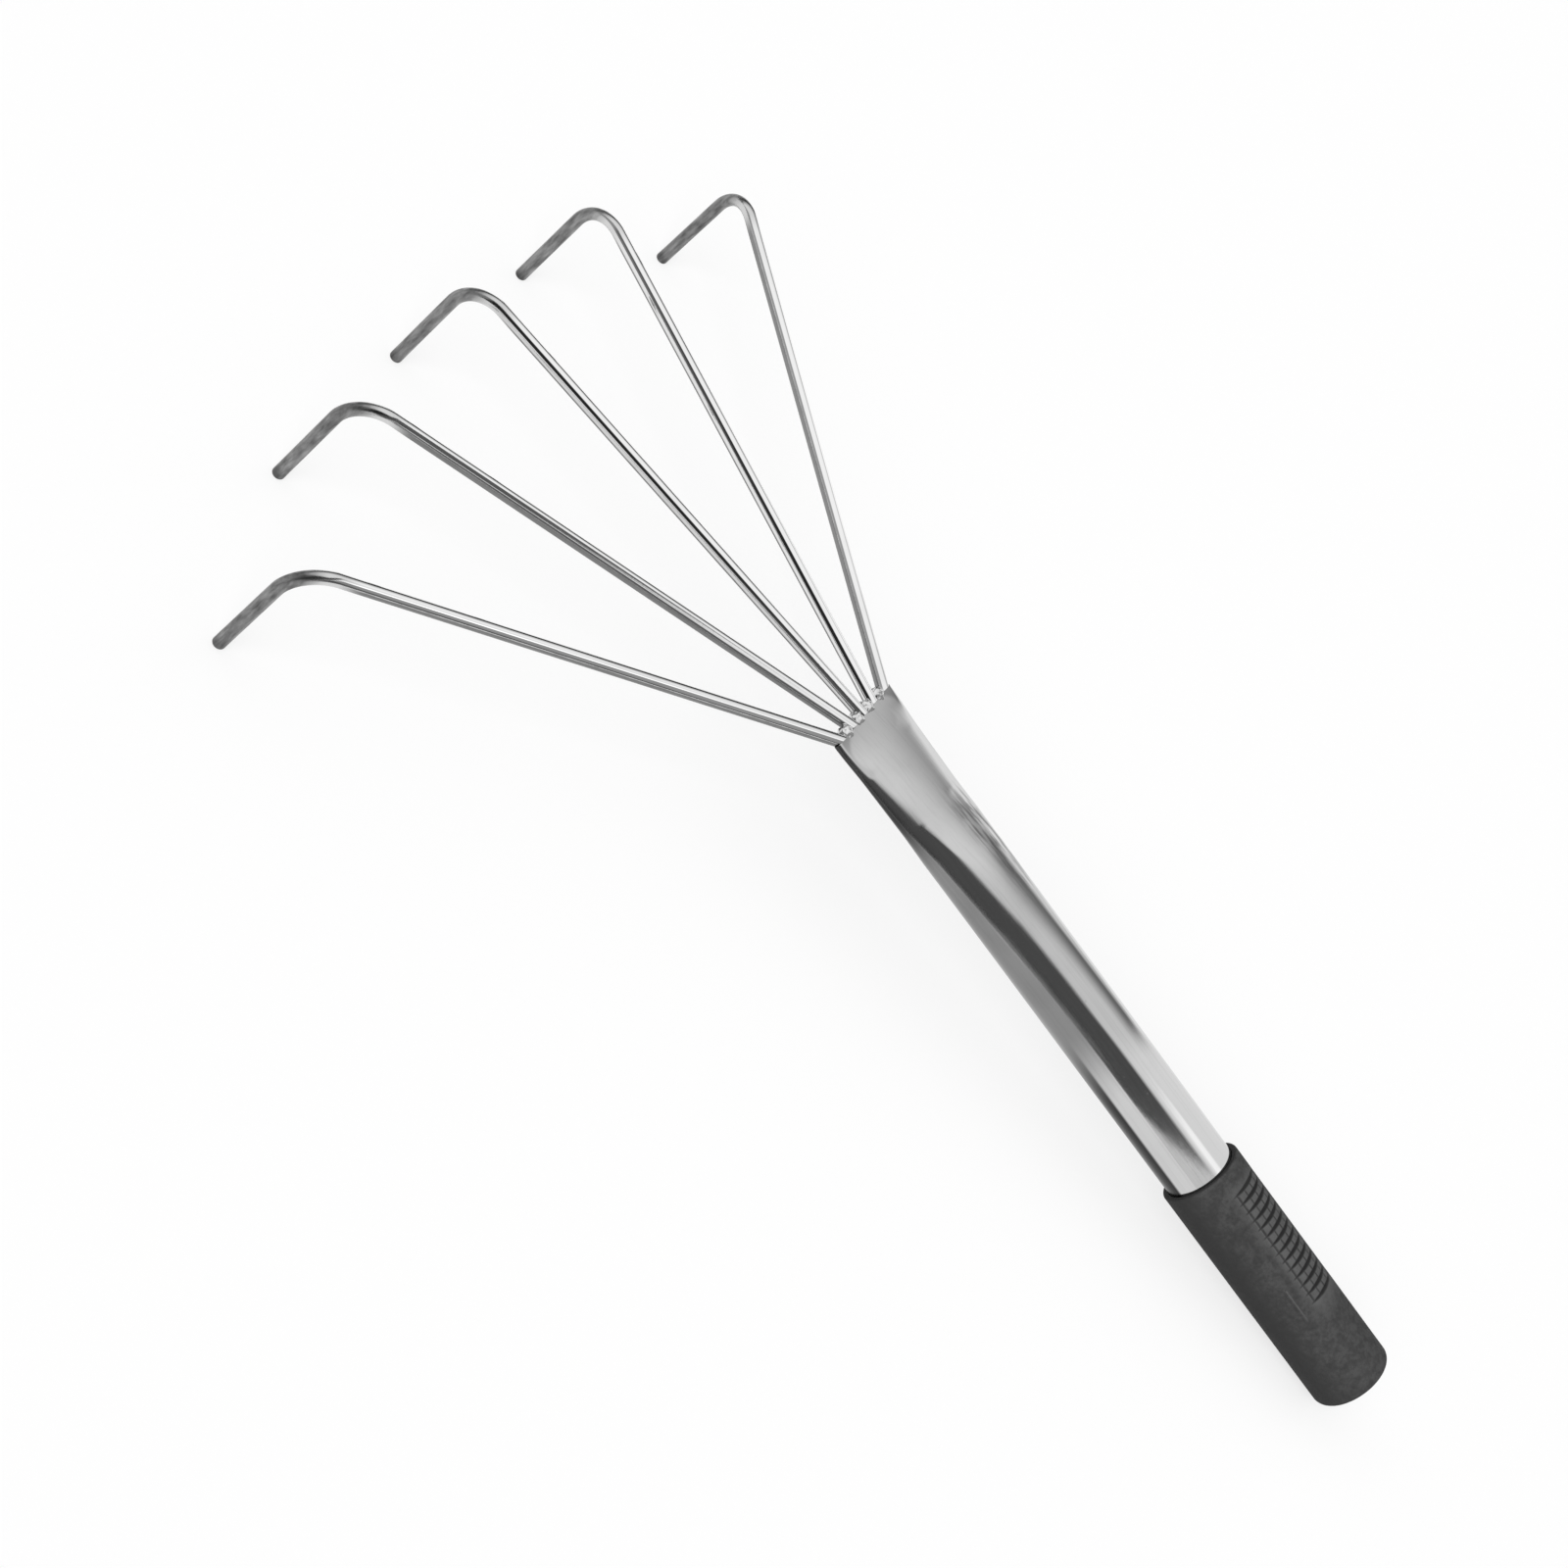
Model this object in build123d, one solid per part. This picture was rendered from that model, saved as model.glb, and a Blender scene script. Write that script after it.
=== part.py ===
from build123d import *
import os
from math import asin, atan2, cos, hypot, pi, radians, sin

# A five-tine hand rake of bent wire, a pressed tube and a slip-on grip, in millimetres and degrees.
# +X runs from the tines to the grip, +Z is up, and the tine tips and the grip's end stand on z = 0.

# Wire tines, welded to the edge of the tube's mouth
WIRE = 3.8
INNER_ROOT = 6.2
OUTER_ROOT = 13.6
CENTRE_REACH = 158.9
INNER_REACH = 164.5
OUTER_REACH = 166.9
INNER_FAN = 20.0
OUTER_FAN = 38.1
LEG_BEND = 11.5
TIP_CHAMFER = 0.5

# Handle tube, round at the grip and pressed almost shut at its mouth
TUBE_OUTSIDE = 22.0
TUBE_WALL = 1.0
TUBE_SHOWING = 169.0
MOUTH_SLIT = 0.6
JAW_LENGTH = 33.0
JAW_RISE = 3.0
JAW_SECTION_COUNT = 3
SPRING_LENGTH = 95.0
SPRING_POWER = 2.2
SPRING_SECTION_COUNT = 8
HEAD_CROWN = 6.0
ROUND_CROWN = 18.0
MOUTH_HEIGHT = 42.0

# Weld beads in the gaps between the wires
BEAD_RADIUS = 2.3

# Rubber grip
GRIP_LENGTH = 82.5
GRIP_WALL = 1.75
GRIP_END_WALL = 3.5
GRIP_END_ROUND = 3.0
GRIP_LIP_CHAMFER = 0.6
GRIP_CLEARANCE = 0.05
RIB_START = 7.7
RIB_PITCH = 3.15
RIB_HALF_ANGLE = 42.0
GROOVE_COUNT = 14
GROOVE_DEPTH = 0.45
GROOVE_WIDTH = 1.8

# Sizes that follow from those above
TUBE_RADIUS = TUBE_OUTSIDE / 2
PRESSED_HALF = TUBE_WALL + MOUTH_SLIT / 2
JAW_HALF = PRESSED_HALF + JAW_RISE
ROUND_START = JAW_LENGTH + SPRING_LENGTH
ROOT_OVERRUN = WIRE
CUTTER = 4 * ROOT_OVERRUN
GRIP_RADIUS = TUBE_RADIUS + GRIP_CLEARANCE + GRIP_WALL
HANDLE_LENGTH = TUBE_SHOWING + GRIP_LENGTH
TUBE_LENGTH = HANDLE_LENGTH - GRIP_END_WALL

# The handle slopes down just enough for the rounded edge of the grip's end to touch the ground.
EDGE_ALONG = HANDLE_LENGTH - GRIP_END_ROUND
EDGE_OUT = GRIP_RADIUS - GRIP_END_ROUND
SLOPE = asin((MOUTH_HEIGHT - GRIP_END_ROUND) / hypot(EDGE_ALONG, EDGE_OUT)) - atan2(EDGE_OUT, EDGE_ALONG)

# One row per tine, from left to right: name, place along the mouth, fan angle and reach. Left is -Y.
TINES = [
    ("tine_left_outer", -OUTER_ROOT, -OUTER_FAN, OUTER_REACH),
    ("tine_left_inner", -INNER_ROOT, -INNER_FAN, INNER_REACH),
    ("tine_centre", 0.0, 0.0, CENTRE_REACH),
    ("tine_right_inner", INNER_ROOT, INNER_FAN, INNER_REACH),
    ("tine_right_outer", OUTER_ROOT, OUTER_FAN, OUTER_REACH),
]

# One weld bead between each tine and the next.
BEADS = ["weld_left_outer", "weld_left_inner", "weld_right_inner", "weld_right_outer"]


def half_height(along):
    """Half the tube's height behind the mouth: a wedge, a crease, then an easy spring back to the round."""
    if along <= JAW_LENGTH:
        return PRESSED_HALF + JAW_RISE * along / JAW_LENGTH
    still_pressed = max(1 - (along - JAW_LENGTH) / SPRING_LENGTH, 0)
    return TUBE_RADIUS - (TUBE_RADIUS - JAW_HALF) * still_pressed**SPRING_POWER


def section_arcs(along):
    """A section's crown angle, crown radius, side radius and side centre, with the sheet's length kept."""
    height = half_height(along)
    quarter = TUBE_RADIUS * pi / 2
    crown = radians(HEAD_CROWN + (ROUND_CROWN - HEAD_CROWN) * along / ROUND_START)
    side_angle = pi / 2 - crown
    determinant = crown * cos(crown) - side_angle * (1 - cos(crown))
    crown_radius = (quarter * cos(crown) - height * side_angle) / determinant
    side_radius = (height * crown - quarter * (1 - cos(crown))) / determinant
    side_centre = (crown_radius - side_radius) * sin(crown)
    return crown, crown_radius, side_radius, side_centre


def tine_direction(fan):
    """Level direction of a tine, from the mouth towards its leg."""
    return Vector(-cos(radians(fan)), sin(radians(fan)), 0)


# The origin is under the middle of the whole rake.
FRONT = max(reach * cos(radians(fan)) for _, _, fan, reach in TINES) + WIRE / 2
REAR = EDGE_ALONG * cos(SLOPE) + EDGE_OUT * sin(SLOPE) + GRIP_END_ROUND
MOUTH_X = (FRONT - REAR) / 2
HANDLE = Location((MOUTH_X, 0, MOUTH_HEIGHT)) * Rotation(0, SLOPE * 180 / pi, 0)


def handle_point(along, across):
    """A point on the level middle plane of the tube, at a distance behind the mouth."""
    return (HANDLE * Pos(along, across, 0)).position


def tine(across, fan, reach):
    """One wire: its root cut flush with the mouth, level to its corner, then down to the ground."""
    direction = tine_direction(fan)
    root = handle_point(0, across)
    behind_root = root - direction * ROOT_OVERRUN
    leg_corner = root + direction * reach
    tip = Vector(leg_corner.X, leg_corner.Y, 0)
    path = FilletPolyline(behind_root, leg_corner, tip, radius=LEG_BEND)
    wire = sweep(Plane(behind_root, z_dir=direction) * Circle(WIRE / 2), path=path)
    tip_edges = wire.faces().sort_by(Axis.Z)[0].edges()
    wire = chamfer(tip_edges, TIP_CHAMFER)
    behind_mouth = Pos(CUTTER / 2, across, 0) * Box(CUTTER, CUTTER, CUTTER)
    return wire - HANDLE * behind_mouth


def mouth_section(inset):
    """The tube's section at the mouth: two flats with a slit left between them, and half-round ends."""
    return SlotCenterToCenter(pi * (TUBE_RADIUS - PRESSED_HALF), 2 * (PRESSED_HALF - inset))


def crowned_section(along, inset):
    """A section behind the mouth: four tangent arcs, which make a circle where the tube is round again."""
    crown, crown_radius, side_radius, side_centre = section_arcs(along)
    skin_radius = side_radius - inset
    joint_y = side_centre + skin_radius * sin(crown)
    joint_z = skin_radius * cos(crown)
    top = half_height(along) - inset
    side = side_centre + skin_radius
    return make_face([
        ThreePointArc((-joint_y, joint_z), (0, top), (joint_y, joint_z)),
        ThreePointArc((joint_y, joint_z), (side, 0), (joint_y, -joint_z)),
        ThreePointArc((joint_y, -joint_z), (0, -top), (-joint_y, -joint_z)),
        ThreePointArc((-joint_y, -joint_z), (-side, 0), (-joint_y, joint_z)),
    ])


def across_tube(along):
    """The plane across the tube at a distance behind the mouth, with its x along the mouth's width."""
    return Plane((along, 0, 0), x_dir=(0, 1, 0), z_dir=(1, 0, 0))


def evenly(start, length, count):
    """Places behind the mouth that split a length into equal steps, without its start."""
    return [start + length * step / count for step in range(1, count + 1)]


def tube_body(inset):
    """The solid inside the tube's skin, or inside its bore when inset by the wall."""
    jaw = [across_tube(0) * mouth_section(inset)]
    jaw += [
        across_tube(place) * crowned_section(place, inset)
        for place in evenly(0, JAW_LENGTH, JAW_SECTION_COUNT)
    ]
    spring = jaw[-1:]
    spring += [
        across_tube(place) * crowned_section(place, inset)
        for place in evenly(JAW_LENGTH, SPRING_LENGTH, SPRING_SECTION_COUNT)
    ]
    straight = extrude(across_tube(ROUND_START) * Circle(TUBE_RADIUS - inset), TUBE_LENGTH - ROUND_START)
    return loft(jaw) + loft(spring) + straight


def handle_tube():
    """The chromed tube, open at both ends."""
    return HANDLE * (tube_body(0) - tube_body(TUBE_WALL))


def groove_ring(along):
    """A ring with a V-shaped inner edge, wider than the grip and set low to bite only the grip's top."""
    drop = GROOVE_DEPTH / (1 - cos(radians(RIB_HALF_ANGLE)))
    inner = GRIP_RADIUS - GROOVE_DEPTH + drop
    edge = make_face(Polyline(
        (along, inner),
        (along + GROOVE_WIDTH, inner + 2 * GROOVE_DEPTH),
        (along - GROOVE_WIDTH, inner + 2 * GROOVE_DEPTH),
        close=True,
    ))
    return Pos(0, 0, -drop) * revolve(Plane.XZ * edge, Axis.X)


def grip_sleeve():
    """The closed rubber grip: one profile turned about the handle's axis, grooved across its top."""
    bore = TUBE_RADIUS + GRIP_CLEARANCE
    profile = make_face(Polyline(
        (TUBE_SHOWING, bore),
        (TUBE_SHOWING, GRIP_RADIUS),
        (HANDLE_LENGTH, GRIP_RADIUS),
        (HANDLE_LENGTH, 0),
        (TUBE_LENGTH, 0),
        (TUBE_LENGTH, bore),
        close=True,
    ))
    lip = profile.vertices().filter_by_position(Axis.Y, GRIP_RADIUS, GRIP_RADIUS).sort_by(Axis.X)
    profile = chamfer(lip[0], GRIP_LIP_CHAMFER)
    end = profile.vertices().filter_by_position(Axis.X, HANDLE_LENGTH, HANDLE_LENGTH).sort_by(Axis.Y)
    profile = fillet(end[-1], GRIP_END_ROUND)
    turned = revolve(Plane.XZ * profile, Axis.X)
    for groove in range(GROOVE_COUNT):
        turned -= groove_ring(TUBE_SHOWING + RIB_START + groove * RIB_PITCH)
    return HANDLE * turned


def weld_bead(across, wires):
    """Half a ball of weld, seated on the rim of the mouth and filling the gap between two wires."""
    blob = Rotation(0, -90, 0) * Sphere(BEAD_RADIUS, arc_size1=0, align=None)
    bead = HANDLE * Pos(0, across, 0) * blob
    for wire in wires:
        bead -= wire
    return bead


def build_parts():
    """Every piece of the rake by name."""
    parts = {}
    for name, root, fan, reach in TINES:
        parts[name] = tine(root, fan, reach)
    parts["handle_tube"] = handle_tube()
    for name, before, after in zip(BEADS, TINES, TINES[1:]):
        middle = (before[1] + after[1]) / 2
        parts[name] = weld_bead(middle, [parts[before[0]], parts[after[0]]])
    parts["grip_sleeve"] = grip_sleeve()
    return parts


os.makedirs("parts", exist_ok=True)
for name, part in build_parts().items():
    part.label = name
    export_step(part, f"parts/{name}.step")
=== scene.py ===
from math import asin, atan2, cos, hypot, pi, radians, sin

import bpy
from mathutils import Matrix, Quaternion, Vector, noise


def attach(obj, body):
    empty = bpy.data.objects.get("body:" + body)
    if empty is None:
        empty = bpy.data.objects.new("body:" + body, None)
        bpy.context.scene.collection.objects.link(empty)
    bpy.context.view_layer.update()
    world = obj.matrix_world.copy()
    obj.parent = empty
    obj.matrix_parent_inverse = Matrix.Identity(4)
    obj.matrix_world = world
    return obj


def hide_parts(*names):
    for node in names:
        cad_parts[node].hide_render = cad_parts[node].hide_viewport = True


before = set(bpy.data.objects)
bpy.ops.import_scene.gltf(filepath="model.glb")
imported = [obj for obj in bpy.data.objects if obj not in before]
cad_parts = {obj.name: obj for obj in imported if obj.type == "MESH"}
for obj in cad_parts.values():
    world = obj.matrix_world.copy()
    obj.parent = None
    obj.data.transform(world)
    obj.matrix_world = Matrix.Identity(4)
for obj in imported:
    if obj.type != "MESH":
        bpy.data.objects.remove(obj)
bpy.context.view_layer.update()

# The finish of a five-tine hand rake. Sizes are in millimetres and degrees, and meshes are in metres.
MM = 0.001
SHARP_EDGE = 40.0

# Wire tines, welded to the edge of the tube's mouth
WIRE = 3.8
INNER_ROOT = 6.2
OUTER_ROOT = 13.6
CENTRE_REACH = 158.9
INNER_REACH = 164.5
OUTER_REACH = 166.9
INNER_FAN = 20.0
OUTER_FAN = 38.1
LEG_BEND = 11.5
BEND_SQUEEZE = 0.04
TIP_ROUND = 0.5
WIRE_SHY = 0.005
WIRE_SIDES = 48
SHAFT_STEP = 6.0
BEND_STEPS = 30
TIP_STEPS = 5

# Handle tube, round at the grip and pressed almost shut at its mouth
TUBE_OUTSIDE = 22.0
TUBE_WALL = 1.0
TUBE_SHOWING = 169.0
MOUTH_SLIT = 0.6
MOUTH_HEIGHT = 42.0
JAW_LENGTH = 33.0
JAW_RISE = 3.0
SPRING_LENGTH = 95.0
SPRING_POWER = 2.2
HEAD_CROWN = 6.0
ROUND_CROWN = 18.0
FLAT_LENGTH = 11.0
FLATTEST_CROWN = 0.03
CREASE_SOFT = 0.8
CREASE_SAMPLES = 9
CREASE_MARGIN = 4.8
HEAD_SWELL = 0.6
SWELL_RISE = 12.0
SWELL_FADE = 40.0
HEAD_ROUNDING = 0.7
NECK_ROUNDING = 0.3
ROUNDING_START = 14.0
ROUNDING_CHANGE = 10.0
RIM_ROUND = 0.25
RIM_STEPS = 3
TUBE_SIDES = 160
HEAD_STEP = 0.3
SPRING_STEP = 1.0
STRAIGHT_STEP = 8.0

# Weld beads between the wires
BEAD_LONG = 2.3
BEAD_WIDE = 2.7
BEAD_HIGH = 2.05
BEAD_FORWARD = 0.4
BEAD_LUMPS = 0.24
BEAD_LUMP_SCALE = 2.2
BEAD_TURNS = 20
BEAD_SIDES = 36

# Rubber grip, with the radius of its end's flat rings as shares of the whole radius
GRIP_LENGTH = 82.5
GRIP_WALL = 1.75
GRIP_END_WALL = 3.5
GRIP_END_ROUND = 3.0
GRIP_END_STEPS = 12
GRIP_END_RINGS = (0.5, 0.25, 0.03)
GRIP_LIP_ROUND = 0.6
GRIP_LIP_STEPS = 6
GRIP_LIP_MARGIN = 0.4
GRIP_CLEARANCE = 0.05
GRIP_SHY = 0.005
GRIP_SIDES = 288
BORE_END_RINGS = (0.05, 0.5, 0.98, 1.0)
BORE_EDGE = 0.3
BORE_MIDDLE = 20.0
BORE_FLARE = 0.1
RIB_START = 7.7
RIB_PITCH = 3.15
RIB_HALF_ANGLE = 42.0
RIB_STEP = 0.2
PLAIN_STEP = 1.0
GROOVE_COUNT = 14
GROOVE_DEPTH = 0.45
GROOVE_WIDTH = 1.8
GROOVE_SOFT = 0.12
NUB_ANGLE = 14.2
NUB_CUT_DEPTH = 0.18
NUB_CUT_WIDTH = 0.75
NUB_CUT_SOFT = 0.2
BAR_ANGLE = -52.8
BAR_START = 40.0
BAR_END = 52.5
BAR_WIDTH = 1.1
BAR_HEIGHT = 0.2
BAR_SOFT = 0.3

# Sizes that follow from those above
FIRST_RING = 2 * WIRE
TUBE_RADIUS = TUBE_OUTSIDE / 2
QUARTER_SHEET = TUBE_RADIUS * pi / 2
PRESSED_HALF = TUBE_WALL + MOUTH_SLIT / 2
JAW_HALF = PRESSED_HALF + JAW_RISE
ROUND_START = JAW_LENGTH + SPRING_LENGTH
GRIP_RADIUS = TUBE_RADIUS + GRIP_CLEARANCE + GRIP_WALL
HANDLE_LENGTH = TUBE_SHOWING + GRIP_LENGTH
TUBE_LENGTH = HANDLE_LENGTH - GRIP_END_WALL
EDGE_ALONG = HANDLE_LENGTH - GRIP_END_ROUND
EDGE_OUT = GRIP_RADIUS - GRIP_END_ROUND
SLOPE = asin((MOUTH_HEIGHT - GRIP_END_ROUND) / hypot(EDGE_ALONG, EDGE_OUT)) - atan2(EDGE_OUT, EDGE_ALONG)

# One row per tine, from left to right: name, place along the mouth, fan angle and reach. Left is -Y.
TINES = [
    ("tine_left_outer", -OUTER_ROOT, -OUTER_FAN, OUTER_REACH),
    ("tine_left_inner", -INNER_ROOT, -INNER_FAN, INNER_REACH),
    ("tine_centre", 0.0, 0.0, CENTRE_REACH),
    ("tine_right_inner", INNER_ROOT, INNER_FAN, INNER_REACH),
    ("tine_right_outer", OUTER_ROOT, OUTER_FAN, OUTER_REACH),
]

# One weld bead between each tine and the next.
BEADS = ["weld_left_outer", "weld_left_inner", "weld_right_inner", "weld_right_outer"]

# The handle's own axes start at the middle of the mouth: x towards the grip, y across, z up.
REAR = EDGE_ALONG * cos(SLOPE) + EDGE_OUT * sin(SLOPE) + GRIP_END_ROUND
FRONT = max(reach * cos(radians(fan)) for _, _, fan, reach in TINES) + WIRE / 2
MOUTH = Vector(((FRONT - REAR) / 2, 0, MOUTH_HEIGHT))
HANDLE = Matrix.Translation(MOUTH) @ Matrix.Rotation(SLOPE, 4, "Y")
HANDLE_UP = Vector((sin(SLOPE), 0, cos(SLOPE)))


def handle_point(along, across, above=0.0):
    """A point given in the handle's own axes."""
    return HANDLE @ Vector((along, across, above))


def steps(start, end, size):
    """Even steps of about a size from a start up to, but without, an end."""
    count = max(1, round((end - start) / size))
    return [start + (end - start) * step / count for step in range(count)]


def rounded_edge(radius, count):
    """Steps round an edge, each as its distance behind the edge's front and inside its outer side."""
    angles = [pi / 2 * step / count for step in range(count + 1)]
    return [(radius * (1 - sin(angle)), radius * (1 - cos(angle))) for angle in angles]


def skin(name, rings, loop=False):
    """A smooth mesh over rings of points, joined into a loop or capped at its ends."""
    sides = len(rings[0])
    last = len(rings) - 1
    points = [point * MM for ring in rings for point in ring]
    faces = []
    for ring in range(last + 1 if loop else last):
        here = ring * sides
        there = (ring + 1) % len(rings) * sides
        for side in range(sides):
            after = (side + 1) % sides
            faces.append((here + side, here + after, there + after, there + side))
    for ring in () if loop else (0, last):
        middle = len(points)
        points.append(sum(rings[ring], Vector()) / sides * MM)
        for side in range(sides):
            edge = [ring * sides + side, ring * sides + (side + 1) % sides]
            if ring == 0:
                edge.reverse()
            faces.append((*edge, middle))
    mesh = bpy.data.meshes.new(name)
    mesh.from_pydata(points, [], faces)
    mesh.validate()
    mesh.shade_smooth()
    mesh.set_sharp_from_angle(angle=radians(SHARP_EDGE))
    piece = bpy.data.objects.new(name, mesh)
    bpy.context.scene.collection.objects.link(piece)
    return piece


def stand_in(piece, node, material):
    """Lets a finished piece take the place of its solid."""
    piece.data.materials.append(material)
    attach(piece, "root")
    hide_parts(node)


class Graph:
    """A node tree with a short way to add nodes and join them."""

    def __init__(self, tree):
        self.tree = tree
        tree.nodes.clear()

    def add(self, kind, inputs=None, **settings):
        """Adds a node. An input is a value, or a socket to join to."""
        node = self.tree.nodes.new(kind)
        for name, value in settings.items():
            setattr(node, name, value)
        for name, value in (inputs or {}).items():
            self.feed(node.inputs[name], value)
        return node

    def feed(self, target, value):
        """Gives a socket its value, or joins another socket to it."""
        if isinstance(value, bpy.types.NodeSocket):
            self.tree.links.new(value, target)
        else:
            target.default_value = value

    def math(self, operation, first, second=0.0, third=0.0):
        """A math node's result."""
        node = self.add("ShaderNodeMath", {0: first, 1: second, 2: third}, operation=operation)
        return node.outputs[0]

    def product(self, result, *factors):
        """The product of several values."""
        for factor in factors:
            result = self.math("MULTIPLY", result, factor)
        return result

    def opposite(self, share):
        """What a share leaves of 1."""
        return self.math("SUBTRACT", 1.0, share)

    def ramp(self, value, low, high, start=0.0, end=1.0):
        """A soft step from start to end, as a value goes from low to high."""
        inputs = {"Value": value, "From Min": low, "From Max": high, "To Min": start, "To Max": end}
        return self.add("ShaderNodeMapRange", inputs, interpolation_type="SMOOTHSTEP").outputs[0]

    def line(self, value, start, end):
        """A straight line through start, where a value is 0, and end, where it is 1."""
        return self.math("MULTIPLY_ADD", value, end - start, start)

    def noise(self, place, scale, detail=4.0, roughness=0.55):
        """Noise at a number of cells per metre."""
        inputs = {"Vector": place, "Scale": scale, "Detail": detail, "Roughness": roughness}
        return self.add("ShaderNodeTexNoise", inputs).outputs["Fac"]

    def streaks(self, place, cells, detail=3.0):
        """Noise at numbers of cells per metre along x, y and z."""
        return self.noise(stretched(self, place, cells), 1.0, detail)

    def bump(self, height, strength, distance):
        """The surface's normal, tilted by a height."""
        inputs = {"Strength": strength, "Distance": distance, "Height": height}
        return self.add("ShaderNodeBump", inputs).outputs[0]

    def mix(self, share, first, second):
        """A colour between two others."""
        node = self.add("ShaderNodeMix", data_type="RGBA")
        for socket, value in (("Factor_Float", share), ("A_Color", first), ("B_Color", second)):
            self.feed(next(item for item in node.inputs if item.identifier == socket), value)
        return next(item for item in node.outputs if item.identifier == "Result_Color")

    def blend(self, share, first, second):
        """A number between two others."""
        return self.add("ShaderNodeMix", {0: share, 2: first, 3: second}).outputs[0]


def grey(level):
    """A neutral colour."""
    return (level, level, level, 1.0)


def new_material(name):
    """A material with a shader joined to its output, and the graph to add nodes to."""
    material = bpy.data.materials.new(name)
    material.use_nodes = True
    graph = Graph(material.node_tree)
    shader = graph.add("ShaderNodeBsdfPrincipled")
    graph.add("ShaderNodeOutputMaterial", {"Surface": shader.outputs[0]})
    return material, graph, shader


def join(graph, shader, **sockets):
    """Joins results to the shader's sockets, by socket name with underscores for spaces."""
    for name, value in sockets.items():
        graph.tree.links.new(value, shader.inputs[name.replace("_", " ")])


# Below, a pair is where a change starts and ends, places are in metres, and cells are per metre.

# Plating of both the tube and the wires
LINE_ROUGHNESS = (-0.02, 0.10)
SMEAR_CELLS = 45.0
SMEAR_RANGE = (0.45, 0.75)
SMEAR_ROUGHNESS = 0.03
SMEAR_LIGHT = 0.93
PIT_CELLS = 1400.0
PIT_RANGE = (0.70, 0.80)
PIT_ROUGHNESS = 0.12
PIT_DEPTH = 0.6
PLATING_BUMP = 0.04
PLATING_DEPTH = 0.0001

# Plating of the tube
TUBE_LIGHT = 0.60
TUBE_DULL = (0.18, 0.38)
TUBE_CELLS = (90.0, 3000.0, 3000.0)
# Painted shade, which also roughens: darker at the head's edges, the neck's sides and the rear's underside,
# by how far each faces down
HEAD_UNDER = 0.10
HEAD_UPNESS = (0.25, 0.90)
HEAD_PLACES = (0.026, 0.048)
NECK_UNDER = 0.42
NECK_UPNESS = (0.28, 0.66)
NECK_PLACES = (0.108, 0.136)
REAR_UNDER = 0.06
REAR_UPNESS = (-0.18, -0.07)
DRAWN_CELLS = (14.0, 900.0, 900.0)
DRAWN_SHINE = (1.14, 0.86)
SCUFF_CELLS = (90.0, 620.0, 0.0)
SCUFF_RANGE = (0.40, 0.62)
SCUFF_DEPTH = 0.62
SCUFF_STARTS = (0.026, 0.044)
SCUFF_ENDS = (0.050, 0.080)
SCUFF_SIDES = (-0.002, 0.004)
SCUFF_EDGES = (0.0095, 0.0120)

# Plating of the wires
WIRE_LIGHT = 0.88
WIRE_DULL = (0.40, 0.60)
WIRE_CELLS = (900.0, 900.0, 900.0)
# Sides and bottoms darkened by how far they face down, with a noisy edge: painted shade
WIRE_UPNESS = (0.30, 0.50)
WIRE_BOTTOM_UPNESS = (-0.40, -0.05)
SHADE_EDGE_CELLS = 260.0
SHADE_EDGE_RANGE = (-0.06, 0.06)
# The leg and bend are dark and dull: painted shade with soil streaks down the leg, lighter over the bend and
# darker near the tip
SOIL_CELLS = (700.0, 700.0, 160.0)
SOIL_AND_SHADE_SHINE = (-0.075, 0.575)
LEG_PLACES = (0.002, 0.008)
BEND_SHINE = 0.75
BEND_PLACES = (0.010, 0.018)
TIP_SHADE = 0.6
TIP_PLACES = (0.001, 0.005)

# How bright each tine's painted shade leaves its sides and bottom, from left to right
TINE_PAINTED_SHADES = [(0.27, 0.9), (0.27, 0.8), (0.75, 0.2), (0.90, 0.2), (0.32, 0.9)]

# Weld metal
WELD_COLOURS = (0.55, 0.95)
WELD_LUMP_CELLS = 700.0
WELD_GRAIN_CELLS = 1500.0
WELD_ROUGHNESS = (0.10, 0.35)
WELD_BUMP = 0.25
WELD_DEPTH = 0.0003

# Rubber
# Paler on top and darker below: painted light, mottled by the bloom and speckle
RUBBER_UNDER = 0.030
RUBBER_TOP = 0.068
RUBBER_UPNESS = (-0.30, 0.90)
RUBBER_GLOSS = 0.20
RUBBER_GRAIN_CELLS = 2600.0
RUBBER_ROUGHNESS = (0.72, 0.84)
RUBBER_BUMP = 0.35
RUBBER_DEPTH = 0.0002
BLOOM_CELLS = 320.0
BLOOM_RANGE = (0.35, 0.75)
BLOOM_FADING = (0.45, 1.25)
BLOOM_ROUGHNESS = 0.10
SPECKLE_CELLS = 900.0
SPECKLE_FADING = 2.0
RIB_STARTS = (0.172, 0.178)
RIB_ENDS = (0.216, 0.226)
# Paler rib crests facing up, in the ribbed length: a painted highlight
RIB_UPNESS = (0.72, 0.92)
CREST_HIGHLIGHT_CELLS = 260.0
CREST_HIGHLIGHT_RANGE = (0.4, 1.2)
CREST_HIGHLIGHT_MOST = 0.85
CREST_HIGHLIGHT_COLOUR = 0.12
# Dark grooves: painted shade
GROOVE_MARK = 0.6
GROOVE_SHADE = 0.85
GROOVE_SHADE_COLOUR = 0.012


def object_places(graph):
    """Places on the object, in metres."""
    return graph.add("ShaderNodeTexCoord").outputs["Object"]


def in_handle_axes(graph, vector):
    """A vector turned into the handle's own axes."""
    inputs = {"Vector": vector, "Angle": -SLOPE}
    return graph.add("ShaderNodeVectorRotate", inputs, rotation_type="Y_AXIS").outputs[0]


def handle_places(graph):
    """Places in the handle's own axes, in metres."""
    moved = graph.add("ShaderNodeMapping", {"Vector": object_places(graph), "Location": -(MOUTH * MM)})
    return in_handle_axes(graph, moved.outputs[0])


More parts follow.
